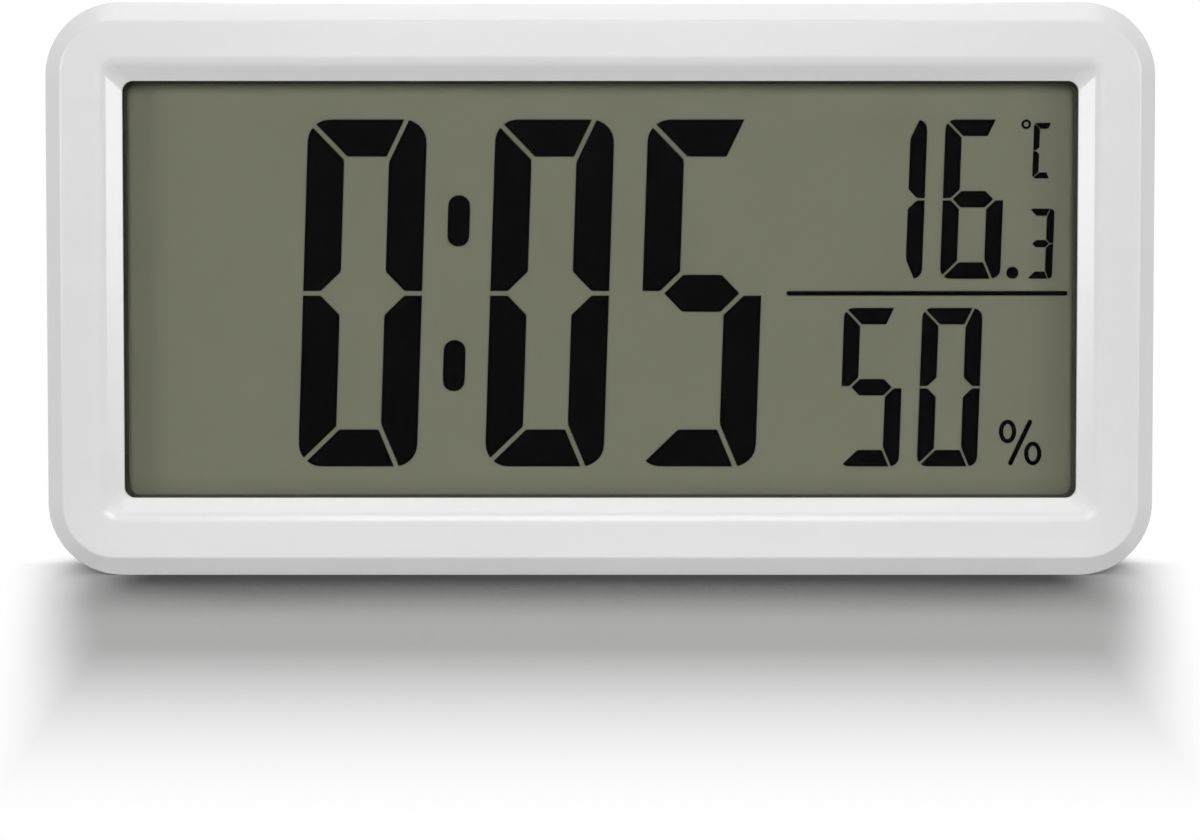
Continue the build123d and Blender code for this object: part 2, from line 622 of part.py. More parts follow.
with BuildPart() as lcd_segments:
    with BuildSketch(at_depth(SEGMENT_FRONT)):
        for shape, x, z in figures:
            with Locations((x, z)):
                add(shape)
        for x, z in slanted([(0, COLON_SPREAD / 2), (0, -COLON_SPREAD / 2)]):
            with Locations((COLON_X + x, BIG_Z + z)):
                SlotOverall(COLON_HEIGHT, COLON_WIDTH, rotation=90 - DIGIT_SLANT)
        with Locations((WINDOW_RIGHT - DOT_TO_WINDOW, TEMPERATURE_BOTTOM + DOT_RADIUS)):
            Circle(DOT_RADIUS)
        with Locations((WINDOW_RIGHT - DEGREE_TO_WINDOW, BIG_TOP - DEGREE_RADIUS)):
            Circle(DEGREE_RADIUS)
            Circle(DEGREE_RADIUS - DEGREE_STROKE, mode=Mode.SUBTRACT)
        with Locations((WINDOW_RIGHT - RULE_TO_WINDOW - RULE_LENGTH / 2, BIG_Z)):
            SlotOverall(RULE_LENGTH, RULE_THICKNESS)
        with Locations((PERCENT_X, PERCENT_Z)):
            SlotOverall(PERCENT_LENGTH, PERCENT_SLASH, rotation=90 - PERCENT_LEAN)
        for side in (-1, 1):
            with Locations((PERCENT_X + side * PERCENT_RING_X, PERCENT_Z - side * PERCENT_RING_Z)):
                Ellipse(PERCENT_RING_WIDTH / 2, PERCENT_RING_HEIGHT / 2)
                Ellipse(
                    PERCENT_RING_WIDTH / 2 - PERCENT_STROKE,
                    PERCENT_RING_HEIGHT / 2 - PERCENT_STROKE,
                    mode=Mode.SUBTRACT,
                )
    extrude(amount=-SEGMENT_THICKNESS)

with BuildPart() as lcd_rear_glass:
    with BuildSketch(at_depth(REAR_GLASS_FRONT)):
        block(-GLASS_HALF_WIDTH, GLASS_HALF_WIDTH, GLASS_BOTTOM, REAR_GLASS_TOP)
    extrude(amount=-GLASS_THICKNESS)

with BuildPart() as rear_reflector:
    with BuildSketch(at_depth(REFLECTOR_FRONT)):
        block(-GLASS_HALF_WIDTH, GLASS_HALF_WIDTH, GLASS_BOTTOM, REAR_GLASS_TOP)
    extrude(amount=-REFLECTOR_THICKNESS)

# Carrier: plate behind the display cell with a rim round it, four ears and four board posts
with BuildPart() as lcd_carrier:
    with BuildSketch(at_depth(CARRIER_FRONT)):
        block(-CARRIER_HALF_WIDTH, CARRIER_HALF_WIDTH, CARRIER_BOTTOM, GLASS_TOP)
        block(
            -STRIP_LENGTH / 2 - CARRIER_RIM,
            STRIP_LENGTH / 2 + CARRIER_RIM,
            STRIP_Z,
            GLASS_TOP + CARRIER_RIM,
        )
        for x, z in EAR_POINTS:
            block(min(x, 0), max(x, 0), z - EAR_RADIUS, z + EAR_RADIUS)
        with Locations(*EAR_POINTS):
            Circle(EAR_RADIUS)
        with Locations((0, STRIP_Z)):
            Rectangle(STRIP_LENGTH + 2 * FIT_GAP, STRIP_THICKNESS + 2 * FIT_GAP, mode=Mode.SUBTRACT)
    extrude(amount=-CARRIER_THICKNESS)
    with BuildSketch(at_depth(POLARISER_FRONT)):
        block(-CARRIER_HALF_WIDTH, CARRIER_HALF_WIDTH, CARRIER_BOTTOM, GLASS_TOP)
        block(
            -GLASS_HALF_WIDTH - FIT_GAP,
            GLASS_HALF_WIDTH + FIT_GAP,
            GLASS_BOTTOM - FIT_GAP,
            GLASS_TOP + CARRIER_RIM,
            mode=Mode.SUBTRACT,
        )
    extrude(amount=POLARISER_FRONT - CARRIER_FRONT)
    with BuildSketch(at_depth(CARRIER_BACK)):
        with Locations(*POST_POINTS):
            Circle(POST_RADIUS)
    extrude(amount=-POST_HEIGHT)
    with BuildSketch(at_depth(BOARD_FRONT)):
        with Locations(*POST_POINTS):
            Circle(BOARD_SCREW[2] + SCREW_FIT)
    extrude(amount=BOARD_SCREW[3] + PILOT_SPARE - BOARD_THICKNESS, mode=Mode.SUBTRACT)
    with BuildSketch(at_depth(CARRIER_BACK)):
        with Locations(*EAR_POINTS):
            Circle(EAR_SCREW[2] + SCREW_HOLE_GAP)
    extrude(amount=CARRIER_THICKNESS, mode=Mode.SUBTRACT)

# Elastomer strip: carries the drive lines from the board to the ledge of the front glass
with BuildPart() as zebra_strip:
    with BuildSketch(at_depth(SEGMENT_FRONT)):
        with Locations((0, STRIP_Z)):
            Rectangle(STRIP_LENGTH, STRIP_THICKNESS)
    extrude(amount=SEGMENT_FRONT - BOARD_FRONT)

# Circuit board and the parts on its back
with BuildPart() as main_board:
    with BuildSketch(at_depth(BOARD_FRONT)):
        block(-BOARD_HALF_WIDTH, BOARD_HALF_WIDTH, BOARD_BOTTOM, BOARD_TOP)
        with Locations(*POST_POINTS):
            Circle(BOARD_SCREW[2] + SCREW_HOLE_GAP, mode=Mode.SUBTRACT)
    extrude(amount=-BOARD_THICKNESS)

with BuildPart() as controller_blob:
    with Locations((BLOB_X, y_at(BOARD_BACK + BLOB_HEIGHT - BLOB_SPHERE), BOARD_Z)):
        Sphere(BLOB_SPHERE)
    split(bisect_by=at_depth(BOARD_BACK), keep=Keep.BOTTOM)

with BuildPart() as quartz_crystal:
    with BuildSketch(Plane.XY.offset(BOARD_Z)):
        with Locations((CRYSTAL_X, y_at(BOARD_BACK) + CRYSTAL_RADIUS)):
            Circle(CRYSTAL_RADIUS)
        with Locations((CRYSTAL_X, y_at(BOARD_BACK) + CRYSTAL_RADIUS / 2)):
            Rectangle(CRYSTAL_RADIUS * 1.6, CRYSTAL_RADIUS)
    extrude(amount=CRYSTAL_LENGTH)

with BuildPart() as smd_components:
    with BuildSketch(at_depth(BOARD_BACK)):
        with Locations((BLOB_X, BOARD_Z - BLOB_RADIUS - CHIP_LENGTH)):
            with GridLocations(CHIP_PITCH, 1, CHIP_COUNT, 1):
                Rectangle(CHIP_WIDTH, CHIP_LENGTH)
    extrude(amount=-CHIP_HEIGHT)

with BuildPart() as humidity_sensor:
    with BuildSketch(at_depth(BOARD_BACK)):
        with Locations((BAY_X, VENT_Z)):
            Rectangle(SENSOR_WIDTH, SENSOR_HEIGHT)
    extrude(amount=-SENSOR_DEPTH)
    with BuildSketch(at_depth(BOARD_BACK + SENSOR_DEPTH)):
        with Locations((BAY_X, VENT_Z)):
            with GridLocations(SENSOR_WIDTH / SENSOR_SLOTS, 1, SENSOR_SLOTS, 1):
                SlotOverall(SENSOR_HEIGHT - 2 * SENSOR_WALL, SENSOR_WALL, rotation=90)
    extrude(amount=SENSOR_DEPTH - SENSOR_WALL, mode=Mode.SUBTRACT)

with BuildPart() as thermistor:
    with BuildSketch(at_depth(BOARD_BACK)):
        with Locations((BEAD_X - BEAD_LEG_SPREAD, VENT_Z), (BEAD_X + BEAD_LEG_SPREAD, VENT_Z)):
            Circle(BEAD_LEG_RADIUS)
    extrude(amount=-BEAD_LEG_LENGTH)
    with Locations((BEAD_X, y_at(BOARD_BACK + BEAD_LEG_LENGTH), VENT_Z)):
        Sphere(BEAD_RADIUS)

with BuildPart() as tact_switches:
    with BuildSketch(at_depth(BOARD_BACK)):
        with Locations(*BUTTON_POINTS):
            Rectangle(SWITCH_SIZE, SWITCH_SIZE)
    extrude(amount=-SWITCH_HEIGHT)
    with BuildSketch(at_depth(SWITCH_TOP)):
        with Locations(*BUTTON_POINTS):
            Circle(PLUNGER_RADIUS + PLUNGER_GAP)
    extrude(amount=SWITCH_BORE_DEPTH, mode=Mode.SUBTRACT)


def button_mark(name):
    """The plain sign sunk into one cap."""
    if name == "set":
        Circle(BUTTON_MARK / 2)
        Circle(BUTTON_MARK / 4, mode=Mode.SUBTRACT)
    elif name == "up":
        Triangle(a=BUTTON_MARK, B=ARROW_ANGLE, C=ARROW_ANGLE)
    elif name == "down":
        Triangle(a=BUTTON_MARK, B=ARROW_ANGLE, C=ARROW_ANGLE, rotation=180)
    else:
        with GridLocations(1, BUTTON_MARK / 2, 1, 2):
            Rectangle(BUTTON_MARK, BUTTON_MARK / 4)


def push_button(name):
    """A cap with its flange and stem, standing over one switch."""
    place = (BUTTON_XS[name], BUTTON_ROW_Z)
    with BuildPart() as button:
        with BuildSketch(at_depth(CAP_BACK)):
            with Locations(place):
                SlotOverall(BUTTON_LENGTH, BUTTON_HEIGHT)
        extrude(amount=CAP_BACK - FLANGE_BACK)
        fillet(button.edges().group_by(Axis.Y)[-1], BUTTON_EDGE_ROUND)
        with BuildSketch(at_depth(FLANGE_BACK)):
            with Locations(place):
                SlotOverall(BUTTON_LENGTH + 2 * BUTTON_FLANGE, BUTTON_HEIGHT + 2 * BUTTON_FLANGE)
        extrude(amount=BUTTON_FLANGE_THICKNESS)
        with BuildSketch(at_depth(FLANGE_BACK - BUTTON_FLANGE_THICKNESS)):
            with Locations(place):
                Circle(BUTTON_STEM_RADIUS)
        extrude(amount=FLANGE_BACK - BUTTON_FLANGE_THICKNESS - SWITCH_TOP - PLUNGER_OUT)
        with BuildSketch(at_depth(CAP_BACK)):
            with Locations(place):
                button_mark(name)
        extrude(amount=BUTTON_MARK_DEPTH, mode=Mode.SUBTRACT)
    return button


def switch_plunger(name):
    """The sprung plunger of one switch."""
    with BuildPart() as plunger:
        with BuildSketch(at_depth(SWITCH_TOP + PLUNGER_OUT)):
            with Locations((BUTTON_XS[name], BUTTON_ROW_Z)):
                Circle(PLUNGER_RADIUS)
        extrude(amount=PLUNGER_OUT + PLUNGER_IN)
    return plunger


# Rear cover: shell with locating tongue, battery bay, stand recess, hanging pocket and screw tubes
with BuildPart() as rear_cover:
    with BuildSketch(at_depth(FRONT_CASE_DEPTH)):
        case_outline(0)
    extrude(amount=FRONT_CASE_DEPTH - CASE_DEPTH)
    fillet(rear_cover.edges().group_by(Axis.Y)[-1], REAR_FILLET)
    chamfer(rear_cover.edges().group_by(Axis.Y)[0], PARTING_CHAMFER)
    with BuildSketch(at_depth(FRONT_CASE_DEPTH)):
        case_outline(WALL)
    extrude(amount=FRONT_CASE_DEPTH - INSIDE_DEPTH, mode=Mode.SUBTRACT)
    with BuildSketch(at_depth(FRONT_CASE_DEPTH - TONGUE_DEPTH)):
        case_outline(WALL + FIT_GAP)
        case_outline(WALL + FIT_GAP + TONGUE_THICKNESS, mode=Mode.SUBTRACT)
    extrude(amount=-2 * TONGUE_DEPTH)
    with BuildSketch(at_depth(FRONT_CASE_DEPTH)):
        case_outline(WALL / 2)
        case_outline(WALL + FIT_GAP + TONGUE_THICKNESS, mode=Mode.SUBTRACT)
    extrude(amount=-TONGUE_DEPTH)
    with BuildSketch(at_depth(BOSS_TOP_DEPTH)):
        with Locations(*COVER_SCREW_POINTS):
            Circle(TUBE_RADIUS)
    extrude(amount=BOSS_TOP_DEPTH - INSIDE_DEPTH)
    with BuildSketch(at_depth(SCREW_SEAT_DEPTH - WALL)):
        with Locations(*COVER_SCREW_POINTS):
            Circle(COVER_SCREW[0] + HEAD_GAP + POCKET_WALL)
    extrude(amount=SCREW_SEAT_DEPTH - WALL - INSIDE_DEPTH)
    with BuildSketch(at_depth(RECESS_DEPTH - RECESS_FLOOR)):
        block(
            -RECESS_HALF_WIDTH - RECESS_WALL,
            RECESS_HALF_WIDTH + RECESS_WALL,
            WALL / 2,
            RECESS_TOP + RECESS_WALL,
        )
    extrude(amount=RECESS_DEPTH - RECESS_FLOOR - INSIDE_DEPTH)
    with BuildSketch(at_depth(BAY_FLOOR_BACK - BAY_FLOOR)):
        block(BAY_LEFT - BAY_WALL, BAY_RIGHT + BAY_WALL, BAY_BOTTOM - BAY_WALL, BAY_TOP + BAY_WALL)
    extrude(amount=BAY_FLOOR_BACK - BAY_FLOOR - INSIDE_DEPTH)
    with BuildSketch(at_depth(INSIDE_DEPTH - POCKET_DEPTH - POCKET_WALL)):
        block(
            -POCKET_HALF - POCKET_WALL,
            POCKET_HALF + POCKET_WALL,
            POCKET_BOTTOM - POCKET_WALL,
            POCKET_TOP + POCKET_WALL,
        )
    extrude(amount=-POCKET_DEPTH - POCKET_WALL)
    with BuildSketch(at_depth(PAD_FRONT)):
        with Locations((BUTTON_ROW_X, BUTTON_ROW_Z)):
            RectangleRounded(DISH_LENGTH, DISH_HEIGHT, DISH_CORNER)
    extrude(amount=PAD_FRONT - INSIDE_DEPTH)
    with BuildSketch(at_depth(CASE_DEPTH)):
        block(-RECESS_HALF_WIDTH, RECESS_HALF_WIDTH, -WALL, RECESS_TOP)
    extrude(amount=CASE_DEPTH - RECESS_DEPTH, mode=Mode.SUBTRACT)
    with BuildSketch(at_depth(CASE_DEPTH)):
        block(BAY_LEFT, BAY_RIGHT, BAY_BOTTOM, BAY_TOP)
    extrude(amount=CASE_DEPTH - BAY_FLOOR_BACK, mode=Mode.SUBTRACT)
    with BuildSketch(at_depth(CASE_DEPTH)):
        block(BAY_LEFT - DOOR_LEDGE, BAY_RIGHT + DOOR_LEDGE, BAY_BOTTOM - DOOR_LEDGE, BAY_TOP + DOOR_LEDGE)
    extrude(amount=DOOR_THICKNESS + DOOR_SEAT_GAP, mode=Mode.SUBTRACT)
    with BuildSketch(at_depth(CASE_DEPTH)):
        with Locations((BAY_X, BAY_TOP + DOOR_LEDGE)):
            SlotOverall(SCOOP_LENGTH, SCOOP_HEIGHT)
    extrude(amount=SCOOP_DEPTH, mode=Mode.SUBTRACT)
    with BuildSketch(at_depth(BAY_FLOOR_BACK)):
        block(
            BAY_LEFT + SPRING_LENGTH,
            BAY_RIGHT - SPRING_LENGTH,
            BAY_Z - BAY_RIB_WIDTH / 2,
            BAY_Z + BAY_RIB_WIDTH / 2,
        )
    extrude(amount=-BAY_RIB_HEIGHT)
    with BuildSketch(across(BAY_RIGHT)):
        with Locations((y_at(POSITIVE_TAB_DEPTH), CELL_UPPER_Z), (y_at(NEGATIVE_TAB_DEPTH), CELL_LOWER_Z)):
            Rectangle(CONTACT_THICKNESS + 2 * TAB_SLOT_GAP, TAB_WIDTH + 2 * TAB_SLOT_GAP)
    extrude(amount=BAY_WALL, mode=Mode.SUBTRACT)
    with BuildSketch(across(BAY_X - DOOR_WIDTH / 2 - DOOR_PIN_LENGTH - PIN_END_GAP)):
        with Locations((y_at(DOOR_AXIS_DEPTH), DOOR_AXIS_Z)):
            Circle(DOOR_PIN_RADIUS + PIN_GAP)
    extrude(amount=DOOR_WIDTH + 2 * DOOR_PIN_LENGTH + 2 * PIN_END_GAP, mode=Mode.SUBTRACT)
    with BuildSketch(across(-LEG_WIDTH / 2 - LEG_PIN_LENGTH - PIN_END_GAP)):
        with Locations((y_at(LEG_AXIS_DEPTH), LEG_AXIS_Z)):
            Circle(LEG_PIN_RADIUS + PIN_GAP)
    extrude(amount=LEG_WIDTH + 2 * LEG_PIN_LENGTH + 2 * PIN_END_GAP, mode=Mode.SUBTRACT)
    with BuildSketch(at_depth(INSIDE_DEPTH)):
        block(-POCKET_HALF, POCKET_HALF, POCKET_BOTTOM, POCKET_TOP)
    extrude(amount=POCKET_DEPTH, mode=Mode.SUBTRACT)
    with BuildSketch(at_depth(CASE_DEPTH)):
        with Locations((0, KEYHOLE_Z)):
            Circle(KEYHOLE_RADIUS)
        with Locations((0, KEYHOLE_Z + KEYHOLE_RISE)):
            Circle(KEYHOLE_SLOT_RADIUS)
        block(-KEYHOLE_SLOT_RADIUS, KEYHOLE_SLOT_RADIUS, KEYHOLE_Z, KEYHOLE_Z + KEYHOLE_RISE)
    extrude(amount=WALL, mode=Mode.SUBTRACT)
    with BuildSketch(at_depth(CASE_DEPTH)):
        with Locations((BAY_X, VENT_Z)):
            with GridLocations(VENT_PITCH, 1, VENT_COUNT, 1):
                SlotOverall(VENT_HEIGHT, VENT_WIDTH, rotation=90)
    extrude(amount=WALL, mode=Mode.SUBTRACT)
    with BuildSketch(at_depth(CASE_DEPTH)):
        with Locations((BUTTON_ROW_X, BUTTON_ROW_Z)):
            RectangleRounded(DISH_LENGTH, DISH_HEIGHT, DISH_CORNER)
    extrude(amount=DISH_DEPTH, mode=Mode.SUBTRACT)
    with BuildSketch(at_depth(CASE_DEPTH)):
        with Locations(*BUTTON_POINTS):
            SlotOverall(BUTTON_LENGTH + 2 * BUTTON_GAP, BUTTON_HEIGHT + 2 * BUTTON_GAP)
    extrude(amount=CASE_DEPTH - PAD_FRONT, mode=Mode.SUBTRACT)
    with BuildSketch(at_depth(CASE_DEPTH)):
        with Locations((-BAY_X, BAY_Z)):
            RectangleRounded(LABEL_WIDTH, LABEL_HEIGHT, LABEL_CORNER)
    extrude(amount=LABEL_DEPTH, mode=Mode.SUBTRACT)
    with BuildSketch(at_depth(CASE_DEPTH)):
        with Locations(*COVER_SCREW_POINTS):
            Circle(COVER_SCREW[0] + HEAD_GAP)
    extrude(amount=CASE_DEPTH - SCREW_SEAT_DEPTH, mode=Mode.SUBTRACT)
    with BuildSketch(at_depth(SCREW_SEAT_DEPTH)):
        with Locations(*COVER_SCREW_POINTS):
            Circle(COVER_SCREW[2] + SCREW_HOLE_GAP)
    extrude(amount=SCREW_SEAT_DEPTH - BOSS_TOP_DEPTH, mode=Mode.SUBTRACT)

# Battery door: round lower edge with end pins, latch tongue at the top
with BuildPart() as battery_door:
    with BuildSketch(across(BAY_X - DOOR_WIDTH / 2)):
        block(y_at(DOOR_FRONT), y_at(CASE_DEPTH), DOOR_AXIS_Z, DOOR_TOP)
        with Locations((y_at(DOOR_AXIS_DEPTH), DOOR_AXIS_Z)):
            Circle(DOOR_THICKNESS / 2)
    extrude(amount=DOOR_WIDTH)
    with BuildSketch(across(BAY_X - DOOR_WIDTH / 2 - DOOR_PIN_LENGTH)):
        with Locations((y_at(DOOR_AXIS_DEPTH), DOOR_AXIS_Z)):
            Circle(DOOR_PIN_RADIUS)
    extrude(amount=DOOR_WIDTH + 2 * DOOR_PIN_LENGTH)
    with BuildSketch(at_depth(CASE_DEPTH)):
        with Locations((BAY_X - LATCH_WIDTH / 2, DOOR_TOP), (BAY_X + LATCH_WIDTH / 2, DOOR_TOP)):
            Rectangle(LATCH_SLIT, 2 * LATCH_LENGTH)
    extrude(amount=DOOR_THICKNESS, mode=Mode.SUBTRACT)
    with BuildSketch(at_depth(CASE_DEPTH)):
        with Locations((BAY_X, DOOR_TOP - LATCH_LENGTH / 2)):
            with GridLocations(1, GRIP_PITCH, 1, GRIP_GROOVES):
                Rectangle(LATCH_WIDTH - 4 * LATCH_SLIT, GRIP_PITCH / 2)
        with Locations((BAY_X, BAY_Z - LATCH_LENGTH / 2)):
            Triangle(a=DOOR_ARROW, B=DOOR_ARROW_ANGLE, C=DOOR_ARROW_ANGLE, rotation=180)
    extrude(amount=GRIP_DEPTH, mode=Mode.SUBTRACT)

# Stand leg: flat plate turning on two end pins, with a heel that meets the recess floor when open
with BuildPart() as stand_leg:
    with BuildSketch(across(-LEG_WIDTH / 2)):
        block(y_at(CASE_DEPTH - LEG_THICKNESS), y_at(CASE_DEPTH), LEG_LIFT, LEG_AXIS_Z)
        block(y_at(CASE_DEPTH - LEG_THICKNESS), y_at(LEG_AXIS_DEPTH), LEG_AXIS_Z, LEG_AXIS_Z + LEG_HEEL)
        with Locations((y_at(LEG_AXIS_DEPTH), LEG_AXIS_Z)):
            Circle(LEG_THICKNESS / 2)
    extrude(amount=LEG_WIDTH)
    with BuildSketch(across(-LEG_WIDTH / 2 - LEG_PIN_LENGTH)):
        with Locations((y_at(LEG_AXIS_DEPTH), LEG_AXIS_Z)):
            Circle(LEG_PIN_RADIUS)
    extrude(amount=LEG_WIDTH + 2 * LEG_PIN_LENGTH)
    with BuildSketch(at_depth(CASE_DEPTH)):
        with Locations((0, LEG_LIFT + LEG_BORDER + GRIP_PITCH)):
            with GridLocations(1, GRIP_PITCH, 1, GRIP_GROOVES):
                Rectangle(LEG_WIDTH - 4 * LEG_BORDER, GRIP_PITCH / 2)
    extrude(amount=GRIP_DEPTH, mode=Mode.SUBTRACT)
    with BuildSketch(at_depth(CASE_DEPTH - LEG_THICKNESS)):
        block(
            -LEG_WIDTH / 2 + LEG_BORDER,
            LEG_WIDTH / 2 - LEG_BORDER,
            LEG_LIFT + 2 * LEG_BORDER + GRIP_GROOVES * GRIP_PITCH,
            LEG_AXIS_Z - LEG_THICKNESS,
        )
        for x in (-LEG_WIDTH / 6, LEG_WIDTH / 6):
            block(x - LEG_RIB / 2, x + LEG_RIB / 2, LEG_LIFT, LEG_AXIS_Z, mode=Mode.SUBTRACT)
    extrude(amount=-LEG_HOLLOW, mode=Mode.SUBTRACT)


def battery_cell(nub_x, toward, z):
    """One cell: its nub end at nub_x, its body running along X in the direction toward."""
    axis_point = (nub_x, y_at(CELL_DEPTH), z)
    profile = Plane(origin=axis_point, x_dir=(toward, 0, 0), z_dir=(0, 0, 1))
    with BuildPart() as cell:
        with BuildSketch(profile):
            Polygon(
                (0, 0),
                (0, CELL_NUB_RADIUS),
                (CELL_NUB_LENGTH, CELL_NUB_RADIUS),
                (CELL_NUB_LENGTH, CELL_END_RADIUS),
                (CELL_NUB_LENGTH + CELL_EDGE, CELL_RADIUS),
                (CELL_LENGTH - CELL_EDGE, CELL_RADIUS),
                (CELL_LENGTH - CELL_EDGE, CELL_END_RADIUS),
                (CELL_LENGTH, CELL_END_RADIUS),
                (CELL_LENGTH, 0),
                align=None,
            )
        revolve(axis=Axis(axis_point, (1, 0, 0)))
    return cell


def contact_spring(base_x, toward, z):
    """A conical spring from a contact plate to the flat end of a cell."""
    with BuildPart() as spring:
        with BuildLine() as coil:
            Helix(
                pitch=SPRING_TRAVEL / SPRING_TURNS,
                height=SPRING_TRAVEL,
                radius=SPRING_BASE_RADIUS,
                center=(base_x + toward * SPRING_WIRE_RADIUS, y_at(CELL_DEPTH), z),
                direction=(toward, 0, 0),
                cone_angle=-SPRING_TAPER,
            )
        with BuildSketch(Plane(origin=coil.line @ 0, z_dir=coil.line % 0)):
            Circle(SPRING_WIRE_RADIUS)
        sweep(is_frenet=True)
    return spring


def end_contact(z, tab_depth):
    """A plate on the outer end wall of the bay, with a solder tab through the wall."""
    with BuildPart() as contact:
        with BuildSketch(across(BAY_RIGHT - CONTACT_THICKNESS)):
            block(CONTACT_FRONT_Y, CONTACT_BACK_Y, z - CONTACT_WIDTH / 2, z + CONTACT_WIDTH / 2)
        extrude(amount=CONTACT_THICKNESS)
        with BuildSketch(across(BAY_RIGHT - CONTACT_THICKNESS)):
            with Locations((y_at(tab_depth), z)):
                Rectangle(CONTACT_THICKNESS, TAB_WIDTH)
        extrude(amount=CONTACT_THICKNESS + TAB_REACH)
    return contact


def wire(points):
    """A round insulated wire along a path with rounded bends, none longer than its runs allow."""
    runs = [(Vector(end) - Vector(start)).length for start, end in zip(points, points[1:])]
    bend = min(WIRE_BEND, BEND_SHARE * min(runs))
    with BuildPart() as lead:
        with BuildLine() as path:
            FilletPolyline(*points, radius=bend)
        with BuildSketch(Plane(origin=path.line @ 0, z_dir=path.line % 0)):
            Circle(WIRE_RADIUS)
        sweep()
    return lead


# Cells and contacts: the upper cell points outward, the lower one inward
battery_upper = battery_cell(BAY_RIGHT - CONTACT_THICKNESS, -1, CELL_UPPER_Z)
battery_lower = battery_cell(BAY_LEFT + CONTACT_THICKNESS, 1, CELL_LOWER_Z)
spring_upper = contact_spring(BAY_LEFT + CONTACT_THICKNESS, 1, CELL_UPPER_Z)
spring_lower = contact_spring(BAY_RIGHT - CONTACT_THICKNESS, -1, CELL_LOWER_Z)
positive_contact = end_contact(CELL_UPPER_Z, POSITIVE_TAB_DEPTH)
negative_contact = end_contact(CELL_LOWER_Z, NEGATIVE_TAB_DEPTH)

with BuildPart() as bridge_contact:
    with BuildSketch(across(BAY_LEFT)):
        block(
            CONTACT_FRONT_Y,
            CONTACT_BACK_Y,
            CELL_LOWER_Z - CONTACT_WIDTH / 2,
            CELL_UPPER_Z + CONTACT_WIDTH / 2,
        )
    extrude(amount=CONTACT_THICKNESS)

POSITIVE_WIRE_Y = y_at(POSITIVE_TAB_DEPTH) + CONTACT_THICKNESS / 2 + WIRE_RADIUS
NEGATIVE_WIRE_Y = y_at(NEGATIVE_TAB_DEPTH) - CONTACT_THICKNESS / 2 - WIRE_RADIUS
positive_wire = wire(
    [
        (WIRE_X, POSITIVE_WIRE_Y, CELL_UPPER_Z - TAB_WIDTH / 2),
        (WIRE_X, POSITIVE_WIRE_Y, POSITIVE_PAD[1]),
        (POSITIVE_PAD[0], POSITIVE_WIRE_Y, POSITIVE_PAD[1]),
        (POSITIVE_PAD[0], y_at(BOARD_BACK), POSITIVE_PAD[1]),
    ]
)
negative_wire = wire(
    [
        (WIRE_X, NEGATIVE_WIRE_Y, CELL_LOWER_Z - TAB_WIDTH / 2),
        (WIRE_X, NEGATIVE_WIRE_Y, NEGATIVE_PAD[1]),
        (NEGATIVE_PAD[0], NEGATIVE_WIRE_Y, NEGATIVE_PAD[1]),
        (NEGATIVE_PAD[0], y_at(BOARD_BACK), NEGATIVE_PAD[1]),
    ]
)

# Screws
rear_cover_screws = screw_set(COVER_SCREW_POINTS, SCREW_SEAT_DEPTH, COVER_SCREW)
carrier_screws = screw_set(EAR_POINTS, CARRIER_BACK, EAR_SCREW)
pcb_screws = screw_set(POST_POINTS, BOARD_BACK, BOARD_SCREW)

# Label and write every piece
parts = {
    "front_case": front_case,
    "display_lens": display_lens,
    "display_gasket": display_gasket,
    "front_polariser": front_polariser,
    "lcd_front_glass": lcd_front_glass,
    "lcd_seal": lcd_seal,
    "lcd_segments": lcd_segments,
    "lcd_rear_glass": lcd_rear_glass,
    "rear_reflector": rear_reflector,
    "lcd_carrier": lcd_carrier,
    "zebra_strip": zebra_strip,
    "main_board": main_board,
    "controller_blob": controller_blob,
    "quartz_crystal": quartz_crystal,
    "smd_components": smd_components,
    "humidity_sensor": humidity_sensor,
    "thermistor": thermistor,
    "tact_switches": tact_switches,
    "rear_cover": rear_cover,
    "battery_door": battery_door,
    "stand_leg": stand_leg,
    "battery_upper": battery_upper,
    "battery_lower": battery_lower,
    "spring_upper": spring_upper,
    "spring_lower": spring_lower,
    "positive_contact": positive_contact,
    "negative_contact": negative_contact,
    "bridge_contact": bridge_contact,
    "positive_wire": positive_wire,
    "negative_wire": negative_wire,
    "rear_cover_screws": rear_cover_screws,
    "carrier_screws": carrier_screws,
    "pcb_screws": pcb_screws,
}
for name in BUTTON_NAMES:
    parts[f"{name}_button"] = push_button(name)
    parts[f"{name}_plunger"] = switch_plunger(name)

os.makedirs("parts", exist_ok=True)
for node, piece in parts.items():
    piece.part.label = node
    export_step(piece.part, f"parts/{node}.step")
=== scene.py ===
# %% [markdown]
# # A desk clock that also shows temperature and humidity
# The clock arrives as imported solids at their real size: a bevelled white case, a display built up in
# layers, a circuit board, two cells, a stand leg and a few buttons. Every solid already sits where it
# belongs, in metres, with +X to the right, +Y from the front face to the back and +Z up. This lesson gives
# each of them the finish that it has on the real clock, and then sets up the floor, the light and the
# camera.

# %% Load the solids
import math

import bpy
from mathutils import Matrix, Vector


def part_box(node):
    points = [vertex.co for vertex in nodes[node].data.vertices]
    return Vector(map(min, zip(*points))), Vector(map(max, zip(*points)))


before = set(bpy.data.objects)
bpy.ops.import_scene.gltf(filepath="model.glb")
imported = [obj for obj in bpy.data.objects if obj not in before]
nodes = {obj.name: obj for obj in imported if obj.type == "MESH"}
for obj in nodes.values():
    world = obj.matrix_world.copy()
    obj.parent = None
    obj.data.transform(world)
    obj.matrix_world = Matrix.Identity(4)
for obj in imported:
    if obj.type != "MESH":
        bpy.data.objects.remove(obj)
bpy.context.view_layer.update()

MM = 0.001
case_low, case_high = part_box("front_case")
front_y = case_low.y
middle = Vector((0, front_y, (case_low.z + case_high.z) / 2))

